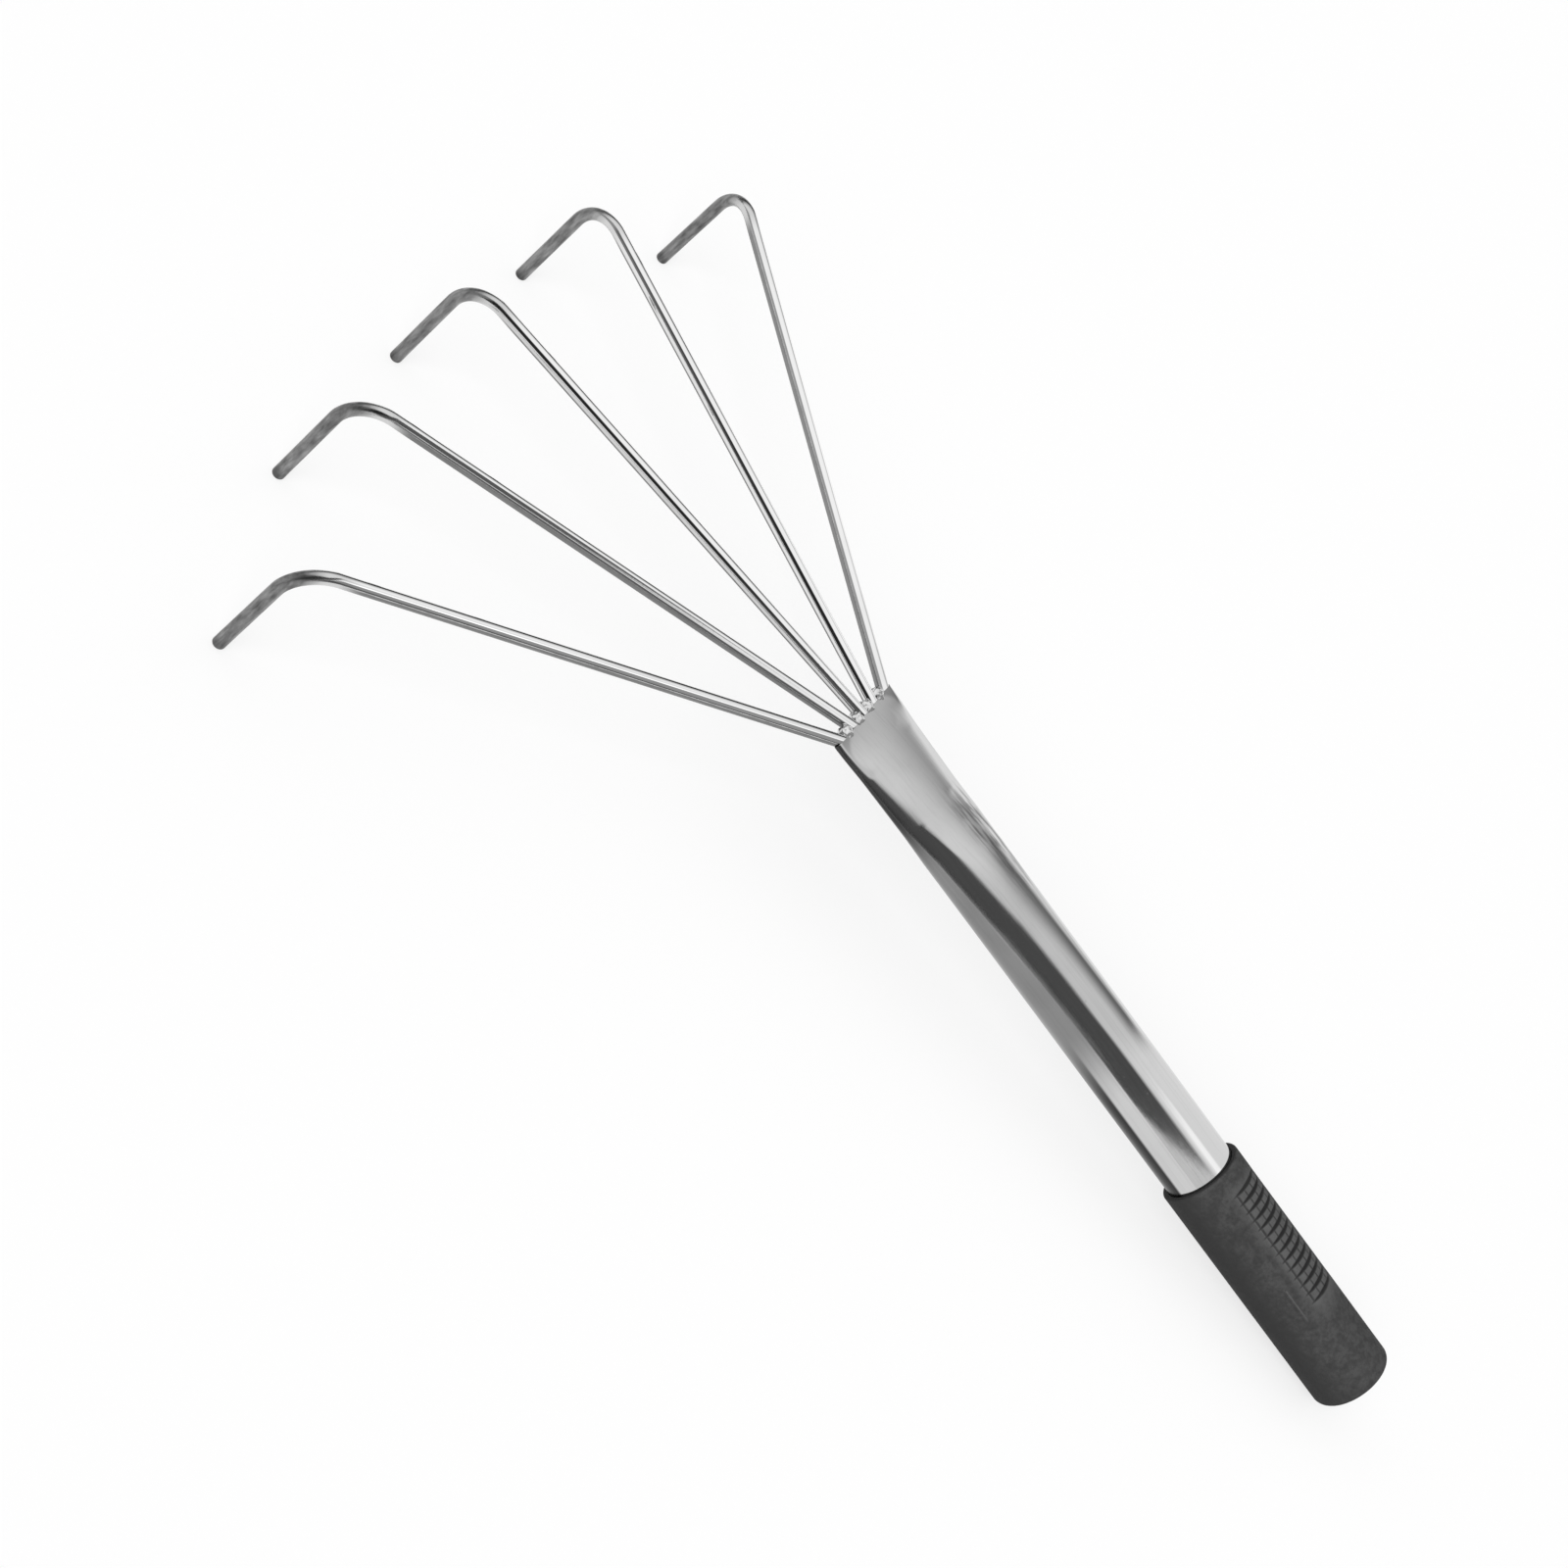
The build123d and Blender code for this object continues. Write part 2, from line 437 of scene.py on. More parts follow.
def upness(graph, up):
    """How far the surface faces a direction: 1 when it faces it, 0 at its sides, -1 underneath."""
    normal = graph.add("ShaderNodeTexCoord").outputs["Normal"]
    return graph.add("ShaderNodeVectorMath", {0: normal, 1: up}, operation="DOT_PRODUCT").outputs["Value"]


def stretched(graph, place, scale):
    """Coordinates scaled apart along x, y and z."""
    return graph.add("ShaderNodeVectorMath", {0: place, 1: scale}, operation="MULTIPLY").outputs[0]


def chrome(graph, shader, place, light, dull, cells, shine):
    """Plated steel with polishing lines, smears and pits. A shine of 0 is dull and dark, and 1 is bright."""
    lines = graph.streaks(place, cells)
    smears = graph.ramp(graph.noise(place, SMEAR_CELLS, detail=5.0), *SMEAR_RANGE)
    pits = graph.ramp(graph.noise(place, PIT_CELLS, detail=2.0), *PIT_RANGE)
    rough = graph.line(lines, *LINE_ROUGHNESS)
    rough = graph.math("MULTIPLY_ADD", smears, SMEAR_ROUGHNESS, rough)
    rough = graph.math("MULTIPLY_ADD", pits, PIT_ROUGHNESS, rough)
    rough = graph.blend(shine, graph.line(lines, *dull), rough)
    polish = graph.mix(smears, grey(light), grey(light * SMEAR_LIGHT))
    colour = graph.mix(shine, grey(0.0), polish)
    height = graph.math("MULTIPLY_ADD", pits, -PIT_DEPTH, lines)
    bump = graph.bump(height, PLATING_BUMP, PLATING_DEPTH)
    shader.inputs["Metallic"].default_value = 1.0
    join(graph, shader, Base_Color=colour, Roughness=rough, Normal=bump)


def tube_material():
    """The tube's plating: bright on top, with painted shade that darkens and dulls the pressed edges, the
    neck's sides and the underside, and scuffed on one shoulder.
    """
    material, graph, shader = new_material("tube_chrome")
    place = handle_places(graph)
    axes = graph.add("ShaderNodeSeparateXYZ", {0: place})
    along = axes.outputs["X"]
    across = axes.outputs["Y"]
    facing = upness(graph, HANDLE_UP)
    # Painted shade: darker and rougher where the surface faces away from the handle's top, measured
    # differently in the head, neck and rear
    head_painted_shade = graph.ramp(facing, *HEAD_UPNESS, HEAD_UNDER, 1.0)
    neck_painted_shade = graph.ramp(facing, *NECK_UPNESS, NECK_UNDER, 1.0)
    rear_painted_shade = graph.ramp(facing, *REAR_UPNESS, REAR_UNDER, 1.0)
    shine = graph.blend(graph.ramp(along, *HEAD_PLACES), head_painted_shade, neck_painted_shade)
    shine = graph.blend(graph.ramp(along, *NECK_PLACES), shine, rear_painted_shade)
    drawn = graph.line(graph.streaks(place, DRAWN_CELLS), *DRAWN_SHINE)
    scuffs = graph.product(
        graph.ramp(graph.streaks(place, SCUFF_CELLS), *SCUFF_RANGE),
        graph.ramp(along, *SCUFF_STARTS),
        graph.ramp(along, *SCUFF_ENDS, 1.0, 0.0),
        graph.ramp(across, *SCUFF_SIDES, 0.0, SCUFF_DEPTH),
        graph.ramp(across, *SCUFF_EDGES, 1.0, 0.0),
    )
    shine = graph.product(shine, drawn, graph.opposite(scuffs))
    chrome(graph, shader, place, TUBE_LIGHT, TUBE_DULL, TUBE_CELLS, shine)
    return material


def wire_material(name, leg, painted_side_shade, painted_bottom_shade):
    """A wire's plating: bright on top, with painted shade on its sides and below, and down the leg painted
    shade with soil streaks, dull, lighter over the bend and darker at the tip.
    """
    material, graph, shader = new_material(name)
    place = object_places(graph)
    height = graph.add("ShaderNodeSeparateXYZ", {0: place}).outputs["Z"]
    # Painted shade on the sides and bottom, with a noisy edge
    shade_edge_noise = graph.line(graph.noise(place, SHADE_EDGE_CELLS), *SHADE_EDGE_RANGE)
    facing = graph.math("ADD", upness(graph, (0, 0, 1)), shade_edge_noise)
    shine = graph.product(
        graph.ramp(facing, *WIRE_UPNESS, painted_side_shade, 1.0),
        graph.ramp(facing, *WIRE_BOTTOM_UPNESS, painted_bottom_shade, 1.0),
    )
    # Painted shade down the leg with soil streaks, darker near the tip, and a lighter painted tone over the
    # bend
    leg_soil_and_shade = graph.product(
        graph.line(graph.streaks(place, SOIL_CELLS, detail=5.0), *SOIL_AND_SHADE_SHINE),
        graph.ramp(height, *TIP_PLACES, TIP_SHADE, 1.0),
    )
    ends = {0: stretched(graph, place, (1.0, 1.0, 0.0)), 1: (leg.x * MM, leg.y * MM, 0.0)}
    from_leg = graph.add("ShaderNodeVectorMath", ends, operation="DISTANCE").outputs["Value"]
    leg_soil_and_shade = graph.blend(graph.ramp(from_leg, *LEG_PLACES), leg_soil_and_shade, BEND_SHINE)
    shine = graph.blend(graph.ramp(from_leg, *BEND_PLACES), leg_soil_and_shade, shine)
    chrome(graph, shader, place, WIRE_LIGHT, WIRE_DULL, WIRE_CELLS, shine)
    return material


def weld_material():
    """Plated weld metal, uneven and a little rough."""
    material, graph, shader = new_material("weld_bead")
    place = object_places(graph)
    lumps = graph.noise(place, WELD_LUMP_CELLS)
    rough = graph.line(graph.noise(place, WELD_GRAIN_CELLS), *WELD_ROUGHNESS)
    bump = graph.bump(lumps, WELD_BUMP, WELD_DEPTH)
    colour = graph.mix(lumps, *(grey(level) for level in WELD_COLOURS))
    shader.inputs["Metallic"].default_value = 1.0
    join(graph, shader, Base_Color=colour, Roughness=rough, Normal=bump)
    return material


def rubber_material():
    """Black moulded rubber, paler on top as painted light: fine grain, a mottled bloom, painted shade in the
    grooves and a painted highlight on the top rib crests.
    """
    material, graph, shader = new_material("grip_rubber")
    place = handle_places(graph)
    along = graph.add("ShaderNodeSeparateXYZ", {0: place}).outputs["X"]
    outward = stretched(graph, place, (0.0, 1.0, 1.0))
    radius = graph.add("ShaderNodeVectorMath", {0: outward}, operation="LENGTH").outputs["Value"]
    facing = upness(graph, HANDLE_UP)
    bloom = graph.ramp(graph.noise(place, BLOOM_CELLS, detail=6.0), *BLOOM_RANGE)
    # Painted light: paler where the grip faces up, mottled by the bloom and speckle
    painted_top_light_and_bloom = graph.product(
        graph.ramp(facing, *RUBBER_UPNESS),
        graph.line(bloom, *BLOOM_FADING),
        graph.noise(place, SPECKLE_CELLS, detail=3.0),
        SPECKLE_FADING,
    )
    colour = graph.mix(painted_top_light_and_bloom, grey(RUBBER_UNDER), grey(RUBBER_TOP))
    crest = graph.ramp(radius, (GRIP_RADIUS - GROOVE_MARK * GROOVE_DEPTH) * MM, GRIP_RADIUS * MM)
    ribbed = graph.product(graph.ramp(along, *RIB_STARTS), graph.ramp(along, *RIB_ENDS, 1.0, 0.0))
    # Painted highlight on the top rib crests
    crest_highlight = graph.product(
        graph.line(graph.noise(place, CREST_HIGHLIGHT_CELLS), *CREST_HIGHLIGHT_RANGE),
        graph.ramp(facing, *RIB_UPNESS, 0.0, CREST_HIGHLIGHT_MOST),
        ribbed,
        crest,
    )
    colour = graph.mix(crest_highlight, colour, grey(CREST_HIGHLIGHT_COLOUR))
    # Painted shade in the grooves
    groove_shade = graph.product(graph.opposite(crest), ribbed, GROOVE_SHADE)
    colour = graph.mix(groove_shade, colour, grey(GROOVE_SHADE_COLOUR))
    grain = graph.noise(place, RUBBER_GRAIN_CELLS, detail=3.0)
    rough = graph.line(grain, *RUBBER_ROUGHNESS)
    rough = graph.math("MULTIPLY_ADD", bloom, BLOOM_ROUGHNESS, rough)
    bump = graph.bump(grain, RUBBER_BUMP, RUBBER_DEPTH)
    shader.inputs["Specular IOR Level"].default_value = RUBBER_GLOSS
    join(graph, shader, Base_Color=colour, Roughness=rough, Normal=bump)
    return material


# Tines
def tine_direction(fan):
    """Level direction of a tine, from the mouth towards its leg."""
    return Vector((-cos(radians(fan)), sin(radians(fan)), 0))


def leg_corner(root, fan, reach):
    """Where a tine's shaft and its leg would meet without the bend."""
    return handle_point(0, root) + tine_direction(fan) * reach


def wire_ring(point, heading, sideways, radius, bend_normal=Vector(), squeeze=0.0):
    """One ring of the wire, a little oval where it is bent."""
    up = heading.cross(sideways)
    ring = []
    for side in range(WIRE_SIDES):
        angle = 2 * pi * side / WIRE_SIDES
        offset = (sideways * cos(angle) + up * sin(angle)) * radius
        ring.append(point + offset - bend_normal * offset.dot(bend_normal) * squeeze)
    return ring


def slid_to_mouth(ring, heading):
    """A ring with its points slid along the wire until they lie on the mouth."""
    mouth_normal = HANDLE.to_3x3() @ Vector((1, 0, 0))
    slope = heading.dot(mouth_normal)
    return [point - heading * ((point - MOUTH).dot(mouth_normal) / slope) for point in ring]


def tine(name, root, fan, reach):
    """One wire: its root cut flush with the mouth, level to its corner, then down to a worn, rounded tip."""
    radius = WIRE / 2 - WIRE_SHY
    level = tine_direction(fan)
    down = Vector((0, 0, -1))
    sideways = level.cross(down)
    start = handle_point(0, root)
    corner = leg_corner(root, fan, reach)
    bend_centre = corner - level * LEG_BEND + down * LEG_BEND
    tip = Vector((corner.x, corner.y, 0))
    rings = [slid_to_mouth(wire_ring(start, level, sideways, radius), level)]
    for along in steps(FIRST_RING, reach - LEG_BEND, SHAFT_STEP):
        rings.append(wire_ring(start + level * along, level, sideways, radius))
    for step in range(BEND_STEPS + 1):
        turn = pi / 2 * step / BEND_STEPS
        turned = Quaternion(sideways, turn)
        outward = turned @ -down
        middle = bend_centre + outward * LEG_BEND
        squeeze = BEND_SQUEEZE * sin(2 * turn) ** 2
        rings.append(wire_ring(middle, turned @ level, sideways, radius, outward, squeeze))
    for below in steps(LEG_BEND, MOUTH_HEIGHT - TIP_ROUND, SHAFT_STEP)[1:]:
        rings.append(wire_ring(corner + down * below, down, sideways, radius))
    for back, inset in rounded_edge(TIP_ROUND, TIP_STEPS):
        rings.append(wire_ring(tip - down * back, down, sideways, radius - inset))
    return skin(name, rings)


# Handle tube
def half_height(along):
    """Half the tube's height behind the mouth: a wedge, a crease, then an easy spring back to the round."""
    if along <= JAW_LENGTH:
        return PRESSED_HALF + JAW_RISE * max(along, 0.0) / JAW_LENGTH
    still_pressed = max(1 - (along - JAW_LENGTH) / SPRING_LENGTH, 0.0)
    return TUBE_RADIUS - (TUBE_RADIUS - JAW_HALF) * still_pressed**SPRING_POWER


def soft_half_height(along):
    """The half height with its crease rounded over a short length."""
    offsets = [CREASE_SOFT * (2 * sample / (CREASE_SAMPLES - 1) - 1) for sample in range(CREASE_SAMPLES)]
    return sum(half_height(along + offset) for offset in offsets) / CREASE_SAMPLES


def eased(share):
    """A share held between 0 and 1 and eased at both ends."""
    share = min(max(share, 0.0), 1.0)
    return share * share * (3 - 2 * share)


def swell(along):
    """How much fuller each face of the pressed head is than a plain wedge."""
    return HEAD_SWELL * eased(along / SWELL_RISE) * (1 - eased((along - JAW_LENGTH) / SWELL_FADE))


def crown_angle(along):
    """How far the section's top is arched: flat at the mouth, then more and more towards the round tube."""
    angle = HEAD_CROWN + (ROUND_CROWN - HEAD_CROWN) * min(along / ROUND_START, 1.0)
    share = min(max(along, 0.0) / FLAT_LENGTH, 1.0)
    return radians(max(angle * share * (2 - share), FLATTEST_CROWN))


def section_arcs(along, height):
    """A section's crown angle, crown radius and side radius, with the sheet's length kept."""
    crown = crown_angle(along)
    side_angle = pi / 2 - crown
    determinant = crown * cos(crown) - side_angle * (1 - cos(crown))
    crown_radius = (QUARTER_SHEET * cos(crown) - height * side_angle) / determinant
    side_radius = (height * crown - QUARTER_SHEET * (1 - cos(crown))) / determinant
    return crown, crown_radius, side_radius


def quarter_point(height, arcs, inset, arc):
    """A point of a section's upper right quarter, at an arc length from its top."""
    crown, crown_radius, side_radius = arcs
    if arc <= crown_radius * crown:
        angle = arc / crown_radius
        skin_radius = crown_radius - inset
        return skin_radius * sin(angle), height - crown_radius + skin_radius * cos(angle)
    angle = crown + (arc - crown_radius * crown) / side_radius
    skin_radius = side_radius - inset
    side_centre = (crown_radius - side_radius) * sin(crown)
    return side_centre + skin_radius * sin(angle), skin_radius * cos(angle)


def rounding(along):
    """How far a section's shoulders are eased from its arcs towards an oval."""
    past_crease = min(max((along - JAW_LENGTH) / ROUNDING_CHANGE, 0.0), 1.0)
    share = HEAD_ROUNDING + (NECK_ROUNDING - HEAD_ROUNDING) * past_crease
    return share * eased(along / ROUNDING_START)


def tube_ring(along, inset):
    """One ring of the tube's skin, or of its bore when inset by the wall."""
    height = soft_half_height(along) + swell(along)
    arcs = section_arcs(along, height)
    half_width, _ = quarter_point(height, arcs, 0.0, QUARTER_SHEET)
    quarter_sides = TUBE_SIDES // 4
    ring = []
    for side in range(TUBE_SIDES):
        section, step = divmod(side, quarter_sides)
        arc = QUARTER_SHEET * step / quarter_sides
        if section % 2:
            arc = QUARTER_SHEET - arc
        skin_y, skin_z = quarter_point(height, arcs, 0.0, arc)
        oval_z = height * max(1 - (skin_y / half_width) ** 2, 0.0) ** 0.5
        y, z = quarter_point(height, arcs, inset, arc)
        z = max(z + rounding(along) * (oval_z - skin_z), 0.0)
        y *= 1 if section in (0, 1) else -1
        z *= 1 if section in (0, 3) else -1
        ring.append(handle_point(along, y, z))
    return ring


def tube_stations():
    """Distances behind the mouth at which the tube's skin has rings, closest from the mouth to the crease."""
    past_crease = JAW_LENGTH + CREASE_MARGIN
    stations = steps(RIM_ROUND, past_crease, HEAD_STEP)
    stations += steps(past_crease, ROUND_START, SPRING_STEP)
    return stations + steps(ROUND_START, TUBE_LENGTH - RIM_ROUND, STRAIGHT_STEP)


def rim(along, outwards):
    """Rings round a cut end of the tube, from the skin to the bore."""
    edge = rounded_edge(RIM_ROUND, RIM_STEPS)
    rings = [tube_ring(along - outwards * back, inset) for back, inset in edge]
    rings += [tube_ring(along - outwards * back, TUBE_WALL - inset) for back, inset in reversed(edge)]
    return rings


def handle_tube(name):
    """The pressed and tapered tube with its bore and its two cut ends."""
    stations = tube_stations()
    rings = [tube_ring(along, 0.0) for along in stations]
    rings += rim(TUBE_LENGTH, 1)
    rings += [tube_ring(along, TUBE_WALL) for along in reversed(stations)]
    rings += reversed(rim(0.0, -1))
    return skin(name, rings, loop=True)


# Grip
def soft_top(value, soft):
    """The greater of a value and zero, with the corner rounded."""
    return (value + hypot(value, soft)) / 2 - soft / 2


def rib_dip(along, angle):
    """Depth of the cross grooves and of the finer cuts across the ribs, deepest on the grip's top."""
    edge = cos(radians(RIB_HALF_ANGLE))
    fade = (cos(angle) - edge) / (1 - edge)
    if fade <= 0:
        return 0.0
    place = along - TUBE_SHOWING - RIB_START
    nearest = min(max(round(place / RIB_PITCH), 0), GROOVE_COUNT - 1)
    away = hypot(place - nearest * RIB_PITCH, GROOVE_SOFT)
    groove = soft_top(GROOVE_DEPTH * (fade - 2 * away / GROOVE_WIDTH), GROOVE_SOFT / 2)
    if not 0 < place < RIB_PITCH * (GROOVE_COUNT - 1):
        return groove
    turn = radians(NUB_ANGLE)
    aside = (angle - round(angle / turn) * turn) * GRIP_RADIUS
    cut = soft_top(1 - 2 * abs(aside) / NUB_CUT_WIDTH, NUB_CUT_SOFT)
    return max(groove, NUB_CUT_DEPTH * min(1.0, 2 * fade) * cut)


def bar_rise(along, angle):
    """Height of a short moulded bar on the grip's side, with rounded ends."""
    middle = TUBE_SHOWING + (BAR_START + BAR_END) / 2
    half_length = (BAR_END - BAR_START - BAR_WIDTH) / 2
    lengthwise = max(abs(along - middle) - half_length, 0.0)
    aside = (angle - radians(BAR_ANGLE)) * GRIP_RADIUS
    inside = 1 - 2 * hypot(lengthwise, aside) / BAR_WIDTH
    return BAR_HEIGHT * min(1.0, soft_top(2 * inside, BAR_SOFT))


def grip_profile():
    """The grip's outline as (along, radius), from the bottom of its bore round to the middle of its end."""
    bore = TUBE_RADIUS + GRIP_CLEARANCE
    front = TUBE_SHOWING
    end = HANDLE_LENGTH - GRIP_SHY
    profile = [(TUBE_LENGTH, bore * share) for share in BORE_END_RINGS]
    bore_places = (TUBE_LENGTH - BORE_EDGE, front + BORE_MIDDLE, front + BORE_EDGE)
    profile += [(along, bore) for along in bore_places]
    profile.append((front, bore + BORE_FLARE))
    lip = rounded_edge(GRIP_LIP_ROUND, GRIP_LIP_STEPS)
    profile += [(front + inset, GRIP_RADIUS - back) for back, inset in lip]
    ribs_end = front + max(RIB_START + RIB_PITCH * GROOVE_COUNT, BAR_END + BAR_WIDTH)
    places = steps(front + GRIP_LIP_ROUND + GRIP_LIP_MARGIN, ribs_end, RIB_STEP)
    places += steps(ribs_end, end - GRIP_END_ROUND, PLAIN_STEP)
    profile += [(along, GRIP_RADIUS) for along in places]
    end_edge = rounded_edge(GRIP_END_ROUND, GRIP_END_STEPS)
    profile += [(end - back, GRIP_RADIUS - inset) for back, inset in end_edge]
    profile += [(end, GRIP_RADIUS * share) for share in GRIP_END_RINGS]
    return profile


def grip(name):
    """The rubber sleeve, closed at its end."""
    rings = []
    for along, radius in grip_profile():
        outside = radius == GRIP_RADIUS
        ring = []
        for side in range(GRIP_SIDES):
            angle = pi - 2 * pi * side / GRIP_SIDES
            out = radius - GRIP_SHY
            if outside:
                out += bar_rise(along, angle) - rib_dip(along, angle)
            ring.append(handle_point(along, out * sin(angle), out * cos(angle)))
        rings.append(ring)
    return skin(name, rings)


# Weld beads
def weld_bead(name, across):
    """A lumpy blob that runs into the two wires beside it and onto the edge of the mouth."""
    rings = []
    for turn in range(1, BEAD_TURNS):
        tilt = pi * turn / BEAD_TURNS
        ring = []
        for side in range(BEAD_SIDES):
            angle = -2 * pi * side / BEAD_SIDES
            spot = Vector((-cos(tilt), sin(tilt) * sin(angle), sin(tilt) * cos(angle)))
            lump = 1 + BEAD_LUMPS * noise.noise(spot * BEAD_LUMP_SCALE + Vector((across, 0, 0)))
            point = Vector((spot.x * BEAD_LONG, spot.y * BEAD_WIDE, spot.z * BEAD_HIGH)) * lump
            ring.append(handle_point(point.x - BEAD_FORWARD, point.y + across, point.z))
        rings.append(ring)
    return skin(name, rings)


def dress_rake():
    """Every finished piece, in place of its solid."""
    weld = weld_material()
    for (node, root, fan, reach), shines in zip(TINES, TINE_PAINTED_SHADES):
        wire = wire_material(node + "_chrome", leg_corner(root, fan, reach), *shines)
        stand_in(tine(node + "_wire", root, fan, reach), node, wire)
    stand_in(handle_tube("handle_tube_chrome"), "handle_tube", tube_material())
    for node, before, after in zip(BEADS, TINES, TINES[1:]):
        stand_in(weld_bead(node + "_bead", (before[1] + after[1]) / 2), node, weld)
    stand_in(grip("grip_sleeve_rubber"), "grip_sleeve", rubber_material())


# Floor
FLOOR_HALF = 6.0
FLOOR_CORNERS = ((-1, -1), (1, -1), (1, 1), (-1, 1))
FLOOR_COLOUR = 0.95
FLOOR_FIBRE = 0.01
FLOOR_FIBRE_CELLS = 900.0
FLOOR_WHITE = 0.72


def floor():
    """A large white paper floor, whitened further where it is seen or mirrored."""
    corners = [(x * FLOOR_HALF, y * FLOOR_HALF, 0) for x, y in FLOOR_CORNERS]
    mesh = bpy.data.meshes.new("floor")
    mesh.from_pydata(corners, [], [(0, 1, 2, 3)])
    plane = bpy.data.objects.new("floor", mesh)
    bpy.context.scene.collection.objects.link(plane)
    material, graph, shader = new_material("floor_paper")
    fibre = graph.noise(object_places(graph), FLOOR_FIBRE_CELLS)
    colour = graph.mix(fibre, grey(FLOOR_COLOUR - FLOOR_FIBRE), grey(FLOOR_COLOUR + FLOOR_FIBRE))
    shader.inputs["Roughness"].default_value = 1.0
    shader.inputs["Specular IOR Level"].default_value = 0.0
    join(graph, shader, Base_Color=colour)
    rays = graph.add("ShaderNodeLightPath").outputs
    seen = graph.math("MAXIMUM", rays["Is Camera Ray"], rays["Is Glossy Ray"])
    seen = graph.math("MAXIMUM", seen, rays["Is Transmission Ray"])
    white = graph.add("ShaderNodeEmission", {"Color": grey(1.0), "Strength": 1.0})
    share = graph.math("MULTIPLY", seen, FLOOR_WHITE)
    paper = graph.add("ShaderNodeMixShader", {0: share, 1: shader.outputs[0], 2: white.outputs[0]})
    output = graph.tree.nodes["Material Output"]
    graph.tree.links.new(paper.outputs[0], output.inputs["Surface"])
    plane.data.materials.append(material)


# World. Edges that slant are given as their angles at a lean of 0 and of 1.
ANGLE_SOFT = 12.0
SKY_LEVELS = (0.40, 0.98)
SKY_ANGLES = (-68.0, -30.0)
LEANING_LEVELS = (0.20, 0.84)
LEANING_ANGLES = (-68.0, -22.0)
LEANING_LEANS = (0.15, 0.20)
HORIZON_LEVELS = (0.08, 1.00)
HORIZON_ANGLES = (-70.0, -57.0)
HORIZON_LEANS = (0.06, 0.12)
BEYOND_LEVELS = (1.10, 0.60)
BEYOND_LEANS = (0.20, 0.35)
BEYOND_EDGE = (-53.0, -123.0)
REAR_LEVELS = (1.05, 0.85)
REAR_ANGLES = (0.0, 40.0)
REAR_LEANS = (0.34, 0.37)
BACK_LEVEL = 0.30
BACK_LEANS = (0.45, 0.54)
PANEL_LEVEL = 1.45
PANEL_ANGLES = (-10.0, 10.0)
PANEL_LEANS = (0.370, 0.395)
NEAR_LEVELS = (0.02, 0.10)
NEAR_EDGE = (-52.7, 170.3)
NEAR_EDGE_MOST = 22.5
NEAR_END = (76.0, 116.0)
NEAR_END_MOST = 88.0
NEAR_END_SOFT = 8.0
NEAR_TAPER = 60000.0
NEAR_TAPER_START = 0.372
NEAR_FADE_LEANS = (0.376, 0.480)
FRONT_EDGES = (24.0, -16.0)
FRONT_LEANS = (0.00, 0.07)
TINE_END_LEVELS = (0.35, 0.02)
TINE_END_LEANS = (-0.72, -0.50)
STRIP_ANGLES = (42.0, 74.0)
STRIP_LEANS = (0.42, 0.45)


def past(graph, value, edge, soft):
    """1 where a value is past an edge and 0 before it, with a soft change."""
    return graph.ramp(graph.math("SUBTRACT", value, edge), -soft / 2, soft / 2)


def stripe(graph, angle, edges):
    """1 where an angle lies between two edges and 0 elsewhere, with soft changes."""
    return graph.math("SUBTRACT", *(past(graph, angle, edge, ANGLE_SOFT) for edge in edges))


def directions(graph):
    """A ray's lean, from -1 to 1 at the grip's end, and its angle from the handle's top to the near side."""
    ray = in_handle_axes(graph, graph.add("ShaderNodeTexCoord").outputs["Generated"])
    axes = graph.add("ShaderNodeSeparateXYZ", {0: ray})
    nearwards = graph.math("MULTIPLY", axes.outputs["Y"], -1.0)
    angle = graph.math("DEGREES", graph.math("ARCTAN2", nearwards, axes.outputs["Z"]))
    return axes.outputs["X"], angle


def sky_light(graph, lean, angle):
    """A pale sky, darker on its far side, with a dark horizon by the tines and a slanted edge by the grip."""
    sky = graph.ramp(angle, *SKY_ANGLES, *SKY_LEVELS)
    leaning_sky = graph.ramp(angle, *LEANING_ANGLES, *LEANING_LEVELS)
    light = graph.blend(graph.ramp(lean, *LEANING_LEANS), sky, leaning_sky)
    leaning = graph.ramp(lean, *HORIZON_LEANS)
    inside_edge = past(graph, angle, graph.line(lean, *BEYOND_EDGE), ANGLE_SOFT)
    inside_edge = graph.math("MAXIMUM", inside_edge, graph.opposite(leaning))
    light = graph.blend(inside_edge, graph.ramp(lean, *BEYOND_LEANS, *BEYOND_LEVELS), light)
    horizon = graph.blend(leaning, graph.ramp(angle, *HORIZON_ANGLES, *HORIZON_LEVELS), 1.0)
    return graph.math("MULTIPLY", light, horizon)


def rear_light(graph, lean, angle, light):
    """The light with the grip's end added: pale, with a bright panel overhead, and dim further back."""
    rear = graph.ramp(angle, *REAR_ANGLES, *REAR_LEVELS)
    light = graph.blend(graph.ramp(lean, *REAR_LEANS), light, rear)
    light = graph.blend(graph.ramp(lean, *BACK_LEANS), light, BACK_LEVEL)
    panel = graph.product(
        stripe(graph, angle, PANEL_ANGLES),
        graph.ramp(lean, *PANEL_LEANS),
        graph.ramp(lean, *BACK_LEANS, 1.0, 0.0),
    )
    return graph.blend(panel, light, PANEL_LEVEL)


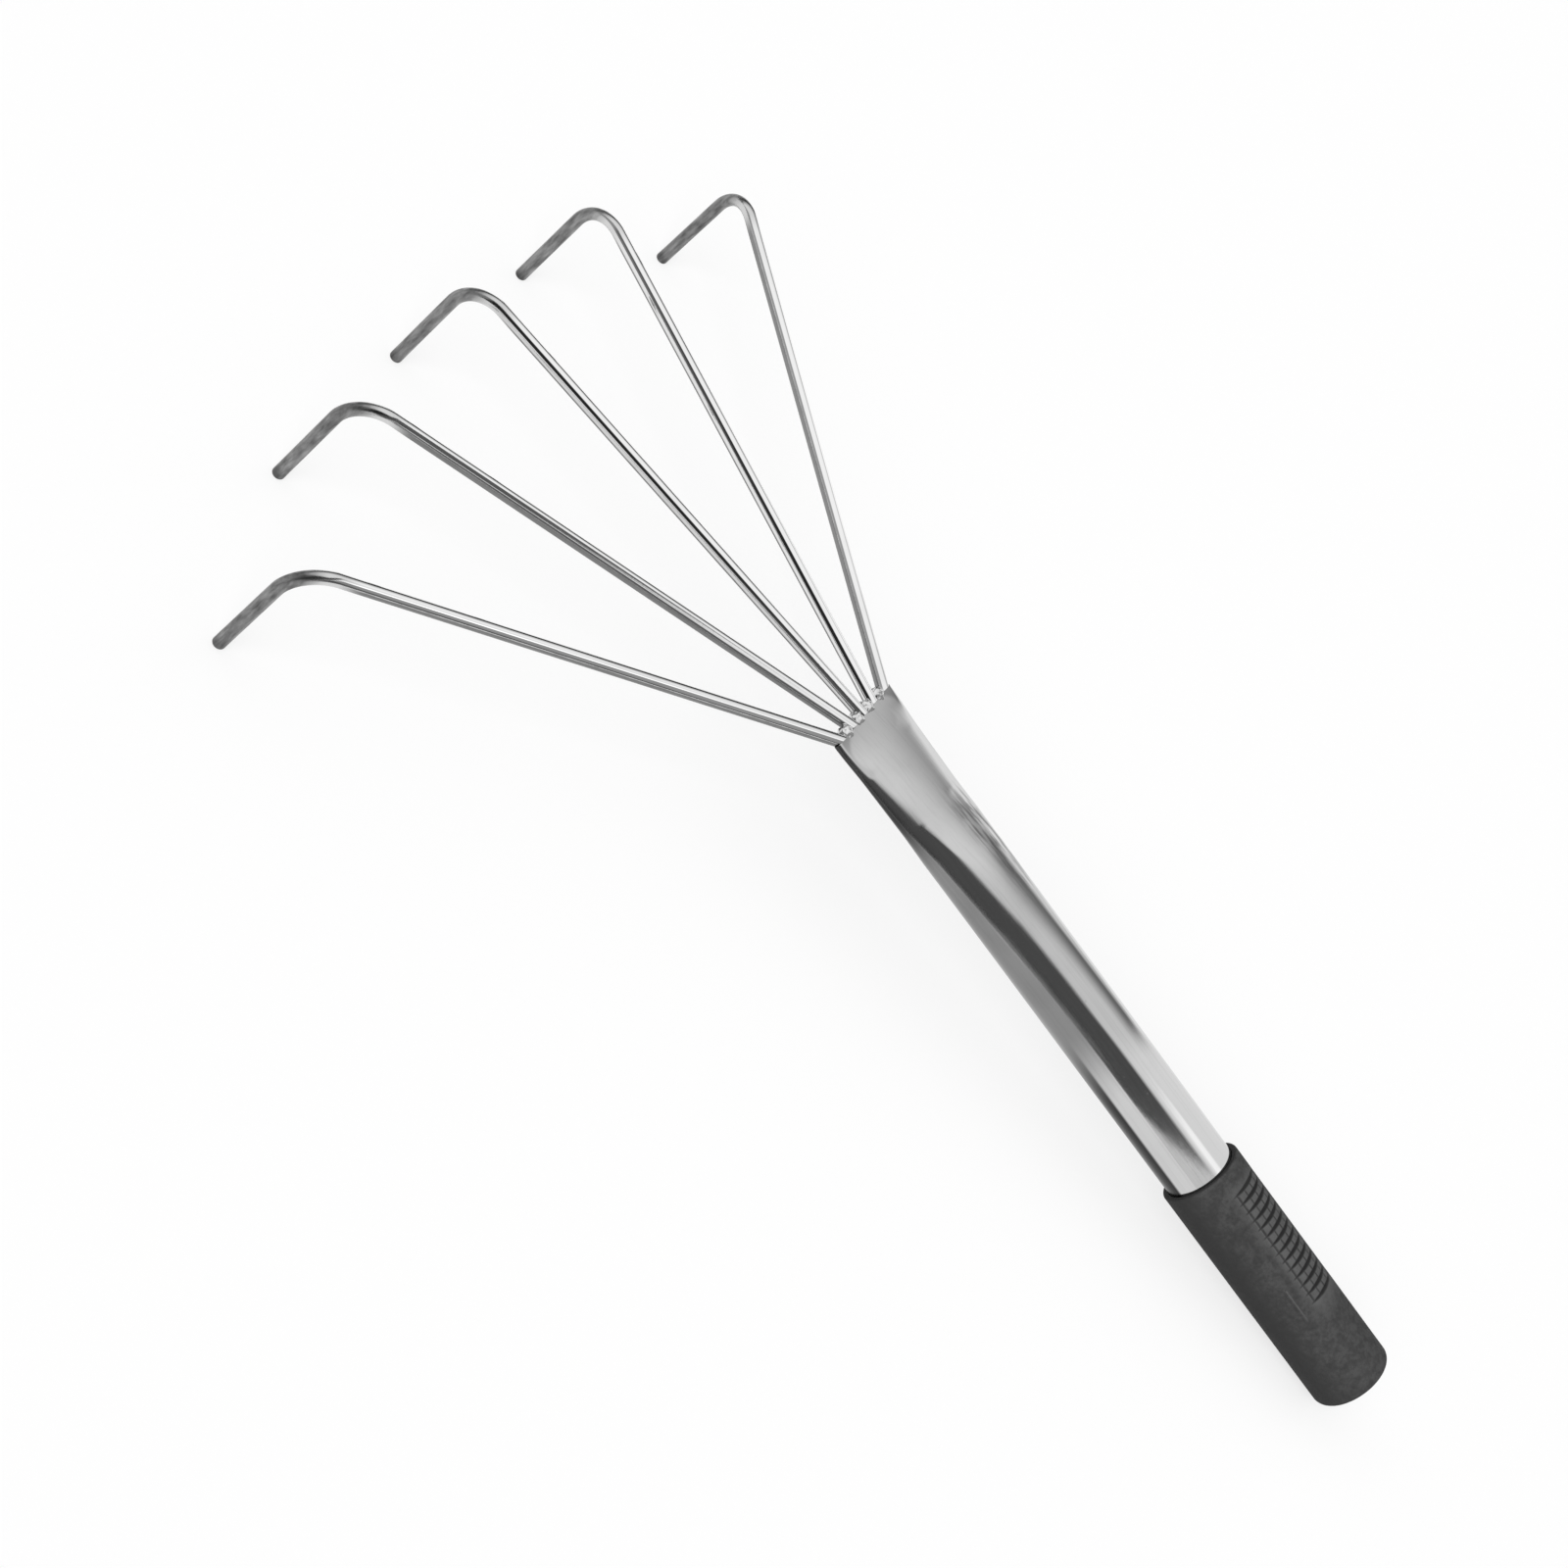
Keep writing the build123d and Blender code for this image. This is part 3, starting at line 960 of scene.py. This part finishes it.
def near_light(graph, lean, angle, light):
    """The light with the dark near side added: a band that tapers off, and a strip past its end."""
    front_edge = graph.ramp(lean, *FRONT_LEANS, *FRONT_EDGES)
    edge = graph.math("MINIMUM", graph.line(lean, *NEAR_EDGE), NEAR_EDGE_MOST)
    edge = graph.math("MAXIMUM", edge, front_edge)
    end = graph.line(graph.math("ABSOLUTE", lean), *NEAR_END)
    end = graph.math("MINIMUM", end, NEAR_END_MOST)
    taper = graph.math("MAXIMUM", graph.math("SUBTRACT", lean, NEAR_TAPER_START), 0.0)
    end = graph.math("MULTIPLY_ADD", graph.math("POWER", taper, 2.0), -NEAR_TAPER, end)
    band = graph.product(
        past(graph, end, angle, NEAR_END_SOFT),
        past(graph, angle, edge, ANGLE_SOFT),
        graph.ramp(lean, *NEAR_FADE_LEANS, 1.0, 0.0),
    )
    strip = graph.product(stripe(graph, angle, STRIP_ANGLES), graph.ramp(lean, *STRIP_LEANS))
    tine_end = graph.ramp(lean, *TINE_END_LEANS, *TINE_END_LEVELS)
    level = graph.math("MAXIMUM", tine_end, graph.ramp(lean, *FRONT_LEANS, *NEAR_LEVELS))
    return graph.blend(graph.math("MAXIMUM", band, strip), light, level)


def studio():
    """A pale studio with a dark near side and far horizon for the metal, and plain white for the camera."""
    world = bpy.data.worlds.new("studio")
    bpy.context.scene.world = world
    world.use_nodes = True
    graph = Graph(world.node_tree)
    lean, angle = directions(graph)
    light = sky_light(graph, lean, angle)
    light = rear_light(graph, lean, angle, light)
    light = near_light(graph, lean, angle, light)
    rays = graph.add("ShaderNodeLightPath").outputs
    seen = graph.math("MAXIMUM", rays["Is Camera Ray"], rays["Is Transmission Ray"])
    background = graph.add("ShaderNodeBackground", {"Color": graph.blend(seen, light, 1.0)})
    graph.add("ShaderNodeOutputWorld", {"Surface": background.outputs[0]})


# Lamp
LAMP_TURN = (48.0, 0.0, -12.0)
LAMP_SPREAD = 50.0
LAMP_STRENGTH = 2.25


def lamp():
    """A wide soft lamp over the camera, which keeps the rake's shadow behind it."""
    light = bpy.data.lights.new("soft_lamp", "SUN")
    light.angle = radians(LAMP_SPREAD)
    light.energy = LAMP_STRENGTH
    bulb = bpy.data.objects.new("soft_lamp", light)
    bulb.rotation_euler = [radians(turn) for turn in LAMP_TURN]
    bulb.visible_glossy = False
    bpy.context.scene.collection.objects.link(bulb)


# Camera, with its places in metres
CAMERA_PLACE = Vector((-0.16280, -0.59458, 0.58078))
CAMERA_AIM = Vector((-0.04084, 0.00177, 0.0))
CAMERA_ROLL = -56.11
SENSOR = 36.0
LENS = 67.09


def camera():
    """The photograph's camera: above the near side, rolled so that the rake lies across the picture."""
    forward = (CAMERA_AIM - CAMERA_PLACE).normalized()
    right = forward.cross(Vector((0, 0, 1))).normalized()
    level_up = right.cross(forward)
    up = level_up * cos(radians(CAMERA_ROLL)) + right * sin(radians(CAMERA_ROLL))
    side = forward.cross(up)
    data = bpy.data.cameras.new("camera")
    data.sensor_width = SENSOR
    data.lens = LENS
    view = bpy.data.objects.new("camera", data)
    turn = Matrix((side, up, -forward)).transposed().to_4x4()
    view.matrix_world = Matrix.Translation(CAMERA_PLACE) @ turn
    bpy.context.scene.collection.objects.link(view)
    bpy.context.scene.camera = view


dress_rake()
floor()
studio()
lamp()
camera()
bpy.context.scene.view_settings.view_transform = "Standard"
